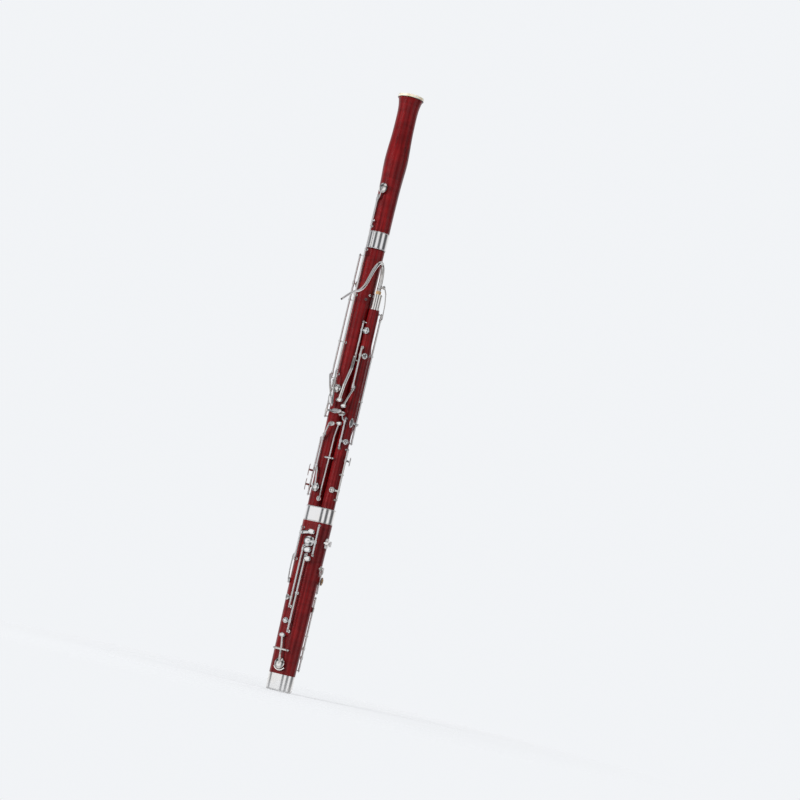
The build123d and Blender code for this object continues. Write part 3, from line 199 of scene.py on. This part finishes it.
def silver_plate():
    """Polished plate with handling haze, fine hairlines and a little warm tarnish."""
    plate = Shader("silver plate", Metallic=1.0)
    tone = (0.90, 0.90, 0.885)
    haze = plate.noise(42, detail=5, roughness=0.6)
    hairlines = plate.noise(1300, detail=2, stretch=(1, 1, 0.08), distortion=0.2)
    tarnish = plate.noise(15, detail=4)
    bright = plate.ramp(haze, [(0.3, scaled(tone, 0.93)), (0.7, tone)])
    warm = plate.ramp(tarnish, [(0.38, (0.93, 0.86, 0.74)), (0.55, WHITE)])
    plate.colour(plate.shaded(bright, warm, 0.35))
    plate.rough(plate.spread(haze, 0.3, 0.72, 0.07, 0.22))
    plate.bump(hairlines, 0.00001, 0.15)
    return plate.material


def ivory_resin():
    """Cream bell ring with faint grown-in streaks."""
    resin = Shader("ivory resin", IOR=1.54, Coat_Weight=0.5, Coat_Roughness=0.08,
                   Subsurface_Weight=0.12, Subsurface_Scale=0.002)
    streaks = resin.noise(90, detail=5, stretch=(1, 1, 0.25), distortion=0.6)
    resin.colour(resin.ramp(streaks, [(0.3, (0.70, 0.61, 0.42)), (0.55, (0.86, 0.80, 0.64)),
                                      (0.75, (0.91, 0.87, 0.74))]))
    resin.rough(resin.spread(streaks, 0.3, 0.7, 0.18, 0.32))
    resin.bump(resin.noise(500, detail=2), 0.00002, 0.2)
    return resin.material


def pad_leather():
    """Tan kid leather with soft creases and grip marks, with painted shade darkening the creases."""
    leather = Shader("pad leather", Sheen_Weight=0.25, Sheen_Roughness=0.5)
    tone = leather.noise(160, detail=5, roughness=0.65)
    creases = leather.cells(1500, "DISTANCE_TO_EDGE")
    colour = leather.ramp(tone, [(0.28, (0.36, 0.20, 0.085)), (0.52, (0.56, 0.345, 0.165)),
                                 (0.75, (0.70, 0.49, 0.28))])
    # painted shade: the colour is darkened along the crease lines that the bump sinks
    crease_shade = leather.ramp(creases, [(0.0, (0.62, 0.5, 0.42)), (0.09, WHITE)])
    leather.colour(leather.shaded(colour, crease_shade, 0.6))
    leather.rough(leather.spread(tone, 0.3, 0.7, 0.48, 0.68))
    leather.bump(creases, 0.00006, 0.5)
    return leather.material


def sheet_cork():
    """Greased cork: pale cells with dark pits."""
    cork = Shader("sheet cork")
    cells = cork.cells(620)
    pits = cork.noise(420, detail=5, roughness=0.7)
    colour = cork.ramp(cells, [(0.05, (0.26, 0.14, 0.055)), (0.35, (0.49, 0.30, 0.135)),
                               (0.8, (0.62, 0.42, 0.22))])
    holes = cork.ramp(pits, [(0.34, (0.22, 0.13, 0.07)), (0.42, WHITE)])
    cork.colour(cork.shaded(colour, holes, 0.8))
    cork.rough(cork.spread(pits, 0.3, 0.7, 0.62, 0.88))
    cork.bump(pits, 0.00018, 0.7)
    return cork.material


def dark_resin(name, tone, lowest, highest):
    """Near-black turned resin or lacquer with faint swirl marks."""
    resin = Shader(name, IOR=1.52)
    swirl = resin.noise(240, detail=4, stretch=(1, 1, 3))
    resin.colour(resin.ramp(swirl, [(0.3, tone), (0.7, scaled(tone, 1.9))]))
    resin.rough(resin.spread(swirl, 0.3, 0.7, lowest, highest))
    resin.bump(swirl, 0.00003, 0.25)
    return resin.material


def ground_metal(name, tone, lowest, highest):
    """Bare metal with turning lines round it and small stains."""
    metal = Shader(name, Metallic=1.0)
    turning = metal.noise(1100, detail=2, stretch=(0.15, 0.15, 1))
    stain = metal.noise(60, detail=4)
    metal.colour(metal.ramp(stain, [(0.3, scaled(tone, 0.66)), (0.62, tone)]))
    metal.rough(metal.spread(turning, 0.3, 0.7, lowest, highest))
    metal.bump(turning, 0.00001, 0.3)
    return metal.material


MATERIALS = {
    "red_lacquered_maple": lacquered_maple(),
    "silver_plate": silver_plate(),
    "ivory_plastic": ivory_resin(),
    "pad_leather": pad_leather(),
    "cork": sheet_cork(),
    "hard_rubber": dark_resin("ebonite", (0.012, 0.011, 0.010), 0.25, 0.42),
    "raw_brass": ground_metal("drawn brass", (0.78, 0.56, 0.24), 0.20, 0.36),
    "blued_steel": ground_metal("ground steel", (0.52, 0.53, 0.56), 0.18, 0.34),
}
BLACK_BAND = dark_resin("black band", (0.006, 0.005, 0.005), 0.14, 0.26)

for node, item in NODES.items():
    item.data.materials.clear()
    item.data.materials.append(MATERIALS[SLOT_OF[node]])


# ---------------------------------------------------------------- mesh helpers
WELD = 0.001 * MM
SHARP_ANGLE = math.radians(38)


def link_new(name, data):
    """An object for the data, in the scene."""
    item = bpy.data.objects.new(name, data)
    bpy.context.scene.collection.objects.link(item)
    return item


def mesh_data(name, mesh):
    """Turns a bmesh into mesh data."""
    data = bpy.data.meshes.new(name)
    mesh.to_mesh(data)
    mesh.free()
    return data


def on_circle(radius, turn, height=0.0):
    return Vector((radius * math.cos(turn), radius * math.sin(turn), height))


def islands(node):
    """The separate solids of a node, each as a list of its corners."""
    mesh = bmesh.new()
    mesh.from_mesh(NODES[node].data)
    bmesh.ops.remove_doubles(mesh, verts=mesh.verts, dist=WELD)
    unseen, groups = dict.fromkeys(mesh.verts), []  # a dict, because a set's order changes between runs
    while unseen:
        stack, group = [unseen.popitem()[0]], []
        while stack:
            corner = stack.pop()
            group.append(corner.co.copy())
            for edge in corner.link_edges:
                other = edge.other_vert(corner)
                if other in unseen:
                    del unseen[other]
                    stack.append(other)
        groups.append(group)
    mesh.free()
    return groups


def piece(name, mesh, body, material):
    """Turns a bmesh into a smooth-shaded object that rides on a body."""
    bmesh.ops.recalc_face_normals(mesh, faces=mesh.faces)
    data = mesh_data(name, mesh)
    data.materials.append(material)
    data.shade_smooth()
    data.set_sharp_from_angle(angle=SHARP_ANGLE)
    item = link_new(name, data)
    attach(item, body)
    return item


def turned(mesh, profile, place, steps=48):
    """Adds a lathe shape: profile is (radius, height) pairs from axis to axis or a closed loop."""
    closed = profile[0] == profile[-1]
    rows = profile[:-1] if closed else profile
    rings = []
    for radius, height in rows:
        turns = [2 * math.pi * i / steps for i in range(steps)] if radius else [0.0]
        rings.append([mesh.verts.new(place @ on_circle(radius, turn, height)) for turn in turns])
    pairs = list(zip(rings, rings[1:])) + ([(rings[-1], rings[0])] if closed else [])
    for low, high in pairs:
        for i in range(steps):
            j = (i + 1) % steps
            corners = [low[i % len(low)], low[j % len(low)], high[j % len(high)], high[i % len(high)]]
            mesh.faces.new([c for n, c in enumerate(corners) if c not in corners[:n]])


def closed_tube(mesh, points, radius, sides):
    """Adds a round tube along a closed loop of points."""
    rings, side = [], None
    count = len(points)
    for i, point in enumerate(points):
        ahead = (points[(i + 1) % count] - points[i - 1]).normalized()
        side = (side - ahead * side.dot(ahead)).normalized() if side else ahead.orthogonal().normalized()
        up = ahead.cross(side)
        rings.append([mesh.verts.new(point + radius * (math.cos(turn) * side + math.sin(turn) * up))
                      for turn in (2 * math.pi * k / sides for k in range(sides))])
    for i, low in enumerate(rings):
        high = rings[(i + 1) % count]
        for k in range(sides):
            n = (k + 1) % sides
            mesh.faces.new([low[k], low[n], high[n], high[k]])


def disc_frame(corners):
    """Centre, thin direction, radius and half thickness of a flat round solid."""
    points = np.array([tuple(corner) for corner in corners])
    middle = points.mean(axis=0)
    axes = np.linalg.svd(points - middle, full_matrices=False)[2]  # widest spread first, thinnest last
    across = (points - middle) @ axes.T
    low, high = across.min(axis=0), across.max(axis=0)
    centre = middle + ((low + high) / 2) @ axes
    half = (high - low) / 2
    return Vector(centre), Vector(axes[2]), (half[0] + half[1]) / 2, half[2]


def facing(origin, direction):
    """A placing whose own +Z points along the direction."""
    return Matrix.Translation(origin) @ direction.to_track_quat("Z", "Y").to_matrix().to_4x4()


# ---------------------------------------------------------------- leather pads
WOODS = ("bell_body", "long_joint_body", "wing_joint_body", "boot_body")
PAD_CROWN = 0.35 * MM
PAD_EDGE = 0.9 * MM
PAD_ROLL_STEPS = 12
GATHERS, GATHER_DEPTH, GATHERS_FROM = 22, 0.006, 0.8


def towards_wood(spot):
    """Level direction from a spot to the middle of the nearest wooden joint at its height."""
    ways = []
    for low, high in map(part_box, WOODS):
        if low.z <= spot.z <= high.z:
            way = (low + high) / 2 - spot
            ways.append(Vector((way.x, way.y, 0)))
    return min(ways, key=lambda way: way.length)


def leather_pad(node):
    """A crowned kid-leather disc with a rolled edge and gathers, in place of the plain pad."""
    (corners,) = islands(node)
    centre, thin, radius, half = disc_frame(corners)
    if thin.dot(towards_wood(centre)) < 0:
        thin.negate()
    edge = min(0.8 * half, PAD_EDGE)
    turns = [math.pi * step / PAD_ROLL_STEPS for step in range(PAD_ROLL_STEPS + 1)]
    roll = [(radius - edge + edge * math.sin(turn), half - PAD_CROWN - edge + edge * math.cos(turn))
            for turn in turns]
    crown = [(radius * part, half - PAD_CROWN * part ** 2) for part in (0, 0.25, 0.5, 0.7)]
    back = [(radius * part, -half) for part in (0.85, 0.5, 0)]
    place = facing(centre, thin)
    mesh = bmesh.new()
    turned(mesh, crown + roll + back, place, steps=64)
    to_pad = place.inverted()
    for vert in mesh.verts:
        spot = to_pad @ vert.co
        if math.hypot(spot.x, spot.y) > GATHERS_FROM * radius:
            turn = math.atan2(spot.y, spot.x)
            vert.co -= (vert.co - centre) * GATHER_DEPTH * math.sin(GATHERS * turn) ** 2
    item = piece(node + "_kid", mesh, BODY_OF[node], MATERIALS["pad_leather"])
    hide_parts(node)


for node in sorted(NODES):
    if node.endswith("_pad"):
        leather_pad(node)


# ---------------------------------------------------------------- bell and ring trim
BLACK_BAND_HEIGHT, BLACK_BAND_DEPTH, BLACK_BAND_PROUD = 1.0 * MM, 1.4 * MM, 0.15 * MM
BEAD_R, BEAD_INSET = 0.75 * MM, 1.5 * MM
BEAD_DEPTH, BEAD_PROUD = 1.0 * MM, 0.5 * MM


def round_size(node):
    """Lowest corner, highest corner and radius of a node turned round a vertical axis."""
    low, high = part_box(node)
    return low, high, (high.x - low.x) / 2


bell_low, bell_high, bell_radius = round_size("bell_ring")
ferrule_low, ferrule_high, ferrule_radius = round_size("bell_ferrule")
bell_axis = ((bell_low.x + bell_high.x) / 2, (bell_low.y + bell_high.y) / 2)


def bell_band(name, z, inner, outer, height, material):
    """A thin turned band with softened corners round the bell's axis."""
    soft = 0.3 * (outer - inner)
    half = height / 2
    mesh = bmesh.new()
    profile = [(inner, -half), (outer - soft, -half), (outer, -half + soft), (outer, half - soft),
               (outer - soft, half), (inner, half), (inner, -half)]
    turned(mesh, profile, Matrix.Translation((*bell_axis, z)), steps=96)
    piece(name, mesh, "bell", material)


# a thin black band drawn round the lower edge of the ivory ring
bell_band("bell_black_band", bell_low.z, bell_radius - BLACK_BAND_DEPTH, bell_radius + BLACK_BAND_PROUD,
          BLACK_BAND_HEIGHT, BLACK_BAND)
for edge, z in (("low", ferrule_low.z + BEAD_INSET), ("high", ferrule_high.z - BEAD_INSET)):
    bell_band("ferrule_bead_" + edge, z, ferrule_radius - BEAD_DEPTH, ferrule_radius + BEAD_PROUD,
              2 * BEAD_R, MATERIALS["silver_plate"])


def oval_bead(name, node, z):
    """A half-round bead round an oval fitting of the boot."""
    lower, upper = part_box(node)
    radius = (upper.y - lower.y) / 2
    straight = (upper.x - lower.x) / 2 - radius
    steps = 40
    turns = [math.pi * (step / steps - 0.5) for step in range(steps + 1)]
    path = [Vector((side * (straight + radius * math.cos(turn)), side * radius * math.sin(turn), z))
            for side in (1, -1) for turn in turns]
    mesh = bmesh.new()
    closed_tube(mesh, path, BEAD_R, sides=12)
    piece(name, mesh, "body", MATERIALS["silver_plate"])


ring_low, ring_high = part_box("boot_ring")
oval_bead("ring_bead_low", "boot_ring", ring_low.z + BEAD_INSET)
oval_bead("ring_bead_high", "boot_ring", ring_high.z - BEAD_INSET)


# ---------------------------------------------------------------- screws
SCREW_R, SCREW_HEIGHT, SLOT_WIDTH, SLOT_DEPTH = 1.05 * MM, 0.55 * MM, 0.34 * MM, 0.28 * MM
SCREW_SUNK = 0.1 * MM
SLOT_TWIST = 1.1  # radians from one steel's slots to the next


def slotted_head(mesh, place):
    """A domed screw head with a driver's slot cut across it."""
    rows, columns = 12, 24
    turns = [2 * math.pi * column / columns for column in range(columns)]
    grid = []
    for row in range(rows + 1):
        reach = SCREW_R * math.sin(math.pi / 2 * row / rows)
        dome = SCREW_HEIGHT * math.sqrt(1 - 0.75 * (reach / SCREW_R) ** 2)
        ring = [on_circle(reach, turn, dome) for turn in turns]
        for spot in ring:
            if abs(spot.y) < SLOT_WIDTH / 2:
                spot.z -= SLOT_DEPTH
        grid.append([mesh.verts.new(place @ spot) for spot in ring])
    grid.append([mesh.verts.new(place @ on_circle(SCREW_R, turn)) for turn in turns])
    for low, high in zip(grid, grid[1:]):
        for i in range(columns):
            j = (i + 1) % columns
            mesh.faces.new([low[i], high[i], high[j], low[j]])
    mesh.faces.new(grid[-1])


def steel_ends(node):
    """Centre line ends of each hinge steel in a node: pairs of points."""
    for corners in islands(node):
        points = np.array([tuple(corner) for corner in corners])
        low, high = points.min(axis=0), points.max(axis=0)
        middle = (low + high) / 2
        longest = int(np.argmax(high - low))
        start, end = middle.copy(), middle.copy()
        start[longest], end[longest] = low[longest], high[longest]
        yield Vector(start), Vector(end)


def screws(name, body, node):
    """A slotted head on both ends of every hinge steel in a node."""
    mesh = bmesh.new()
    for count, (start, end) in enumerate(steel_ends(node)):
        along = (end - start).normalized()
        twist = Matrix.Rotation(SLOT_TWIST * count, 4, "Z")
        slotted_head(mesh, facing(end - along * SCREW_SUNK, along) @ twist)
        slotted_head(mesh, facing(start + along * SCREW_SUNK, -along) @ twist)
    piece(name, mesh, body, MATERIALS["blued_steel"])


screws("rod_screws", "body", "hinge_steels")
screws("bell_rod_screws", "bell", "bell_steel")


# ---------------------------------------------------------------- floor, light and camera
HEIGHT = CAD_BOX[1].z - CAD_BOX[0].z
MIDDLE = Vector((0, 0, HEIGHT / 2))
PAPER = (0.885, 0.902, 0.925)
FLOOR_RADIUS = 1.6
FADE_FROM, FADE_TO = 0.05, 0.9  # where the floor starts and ends its fade
FADE_START = 0.55  # how clear it is before that
CAMERA_AZIMUTH = 31.2
CAMERA_PLACE = Vector((2.63, -4.34, 0.15))
CAMERA_AIM = Vector((0.0983, 0.0569, 0.6745))
LEAN = math.radians(13.1)
LENS, SENSOR = 105.0, 36.0
NEAREST, FURTHEST = 0.05, 60.0
SOFT_LEVEL = 0.36  # grey that lights matt surfaces from all round
# Brightness of the studio's light panels and dark gaps by angle from the camera's side, in degrees.
PANELS = ((-180, 1.3), (-128, 1.2), (-100, 0.05), (-82, 0.10), (-72, 1.9), (-50, 1.7), (-40, 0.04),
          (-18, 0.04), (-9, 1.9), (3, 1.8), (13, 0.04), (38, 0.04), (49, 1.7), (62, 1.3), (74, 0.04),
          (108, 0.06), (128, 1.2), (180, 1.3))
# How much of it is left by height, from straight down (0) to straight up (1).
TIERS = ((0.0, 0.9), (0.30, 0.55), (0.36, 0.25), (0.42, 0.95), (0.60, 1.0), (0.66, 0.10), (0.72, 0.12),
         (0.78, 1.1), (0.90, 0.35), (1.0, 0.8))
# Soft boxes: degrees from the camera's side, degrees up, distance, width and height in metres, watts.
SOFT_BOXES = {
    "key": (-52, 14, 2.8, (1.0, 2.6), 78),
    "fill": (72, 10, 2.8, (0.8, 2.6), 24),
    "top": (0, 74, 2.6, (2.0, 1.2), 14),
    "back": (170, 25, 2.6, (1.6, 2.0), 16),
}


def pale_floor():
    """A pale paper sweep that fades into the backdrop."""
    mesh = bmesh.new()
    bmesh.ops.create_circle(mesh, cap_ends=True, segments=96, radius=FLOOR_RADIUS)
    item = link_new("floor", mesh_data("floor", mesh))
    paper = Shader("pale paper", Roughness=0.9, Specular_IOR_Level=0.1)
    paper.colour(paper.ramp(paper.noise(3, detail=3), [(0.3, PAPER), (0.7, scaled(PAPER, 1.02))]))
    reach = paper.add("ShaderNodeVectorMath", operation="LENGTH")
    paper.link(paper.place, reach.inputs[0])
    clear, mix = paper.add("ShaderNodeBsdfTransparent"), paper.add("ShaderNodeMixShader")
    fade = paper.spread(reach.outputs["Value"], FADE_FROM, FADE_TO, FADE_START, 1.0)
    paper.link(fade, mix.inputs["Fac"])
    paper.link(paper.surface.outputs["BSDF"], mix.inputs[1])
    paper.link(clear.outputs["BSDF"], mix.inputs[2])
    paper.link(mix.outputs["Shader"], paper.tree.nodes["Material Output"].inputs["Surface"])
    item.data.materials.append(paper.material)


def around(azimuth, elevation):
    """Direction from the object at a compass angle from the thumb side towards the wing side."""
    turn, rise = math.radians(azimuth), math.radians(elevation)
    return Vector((math.sin(turn) * math.cos(rise), -math.cos(turn) * math.cos(rise), math.sin(rise)))


def soft_box(name, turn, elevation, distance, size, power):
    """A rectangular studio light that looks at the object's middle and isn't mirrored in it."""
    light = bpy.data.lights.new(name, "AREA")
    light.shape = "RECTANGLE"
    light.size, light.size_y = size
    light.energy = power
    item = link_new(name, light)
    item.location = MIDDLE + around(CAMERA_AZIMUTH + turn, elevation) * distance
    item.rotation_euler = (MIDDLE - item.location).to_track_quat("-Z", "Y").to_euler()
    item.visible_glossy = False


def backdrop():
    """Pale where the camera looks; panels and dark gaps round the room for metal and lacquer to mirror."""
    world = bpy.data.worlds.new("studio")
    bpy.context.scene.world = world
    world.use_nodes = True
    tree = world.node_tree
    link = tree.links.new

    def background(shade):
        node = add_node(tree, "ShaderNodeBackground")
        node.inputs["Color"].default_value = (*shade, 1)
        return node.outputs["Background"]

    def shades(source, stops, tint=(1, 1, 1.03)):
        """Smoothly changing grey with a trace of blue."""
        node = add_node(tree, "ShaderNodeValToRGB")
        node.color_ramp.interpolation = "B_SPLINE"
        set_stops(node, [(place, scaled(tint, shade)) for place, shade in stops])
        link(source, node.inputs["Fac"])
        return node.outputs["Color"]

    def either(choice, otherwise, chosen):
        """The chosen shader for the rays that the choice names, and the other for the rest."""
        node = add_node(tree, "ShaderNodeMixShader")
        for source, socket in zip((choice, otherwise, chosen), node.inputs):
            link(source, socket)
        return node.outputs["Shader"]

    direction = add_node(tree, "ShaderNodeTexCoord").outputs["Generated"]
    turn = add_node(tree, "ShaderNodeMapping")
    turn.inputs["Rotation"].default_value = (0, 0, math.radians(90 - CAMERA_AZIMUTH))
    link(direction, turn.inputs["Vector"])
    sweep = add_node(tree, "ShaderNodeTexGradient", gradient_type="RADIAL")
    link(turn.outputs["Vector"], sweep.inputs["Vector"])
    split = add_node(tree, "ShaderNodeSeparateXYZ")
    link(direction, split.inputs["Vector"])
    height = add_node(tree, "ShaderNodeMapRange")
    height.inputs["From Min"].default_value = -1
    link(split.outputs["Z"], height.inputs["Value"])

    panels = shades(sweep.outputs["Color"], [(0.5 + degrees / 360, shade) for degrees, shade in PANELS])
    tiers = shades(height.outputs["Result"], TIERS)
    both = add_node(tree, "ShaderNodeMix", data_type="RGBA", blend_type="MULTIPLY")
    both.inputs[0].default_value = 1
    for source, socket in zip((panels, tiers), colour_sockets(both.inputs)):
        link(source, socket)
    room = add_node(tree, "ShaderNodeBackground")
    link(colour_sockets(both.outputs)[0], room.inputs["Color"])

    ray = add_node(tree, "ShaderNodeLightPath").outputs
    soft = background((SOFT_LEVEL, SOFT_LEVEL, 1.02 * SOFT_LEVEL))
    lighting = either(ray["Is Glossy Ray"], soft, room.outputs["Background"])
    seen = either(ray["Is Camera Ray"], lighting, background(PAPER))
    link(seen, tree.nodes["World Output"].inputs["Surface"])


pale_floor()
backdrop()
for name, settings in SOFT_BOXES.items():
    soft_box(name, *settings)

lens = bpy.data.cameras.new("camera")
lens.lens, lens.sensor_width = LENS, SENSOR
lens.clip_start, lens.clip_end = NEAREST, FURTHEST
camera = link_new("camera", lens)
camera.location = CAMERA_PLACE
camera.rotation_mode = "QUATERNION"
look = (CAMERA_AIM - CAMERA_PLACE).to_track_quat("-Z", "Y")
camera.rotation_quaternion = look @ Matrix.Rotation(LEAN, 3, "Z").to_quaternion()
bpy.context.scene.camera = camera
bpy.context.scene.view_settings.view_transform = "Standard"
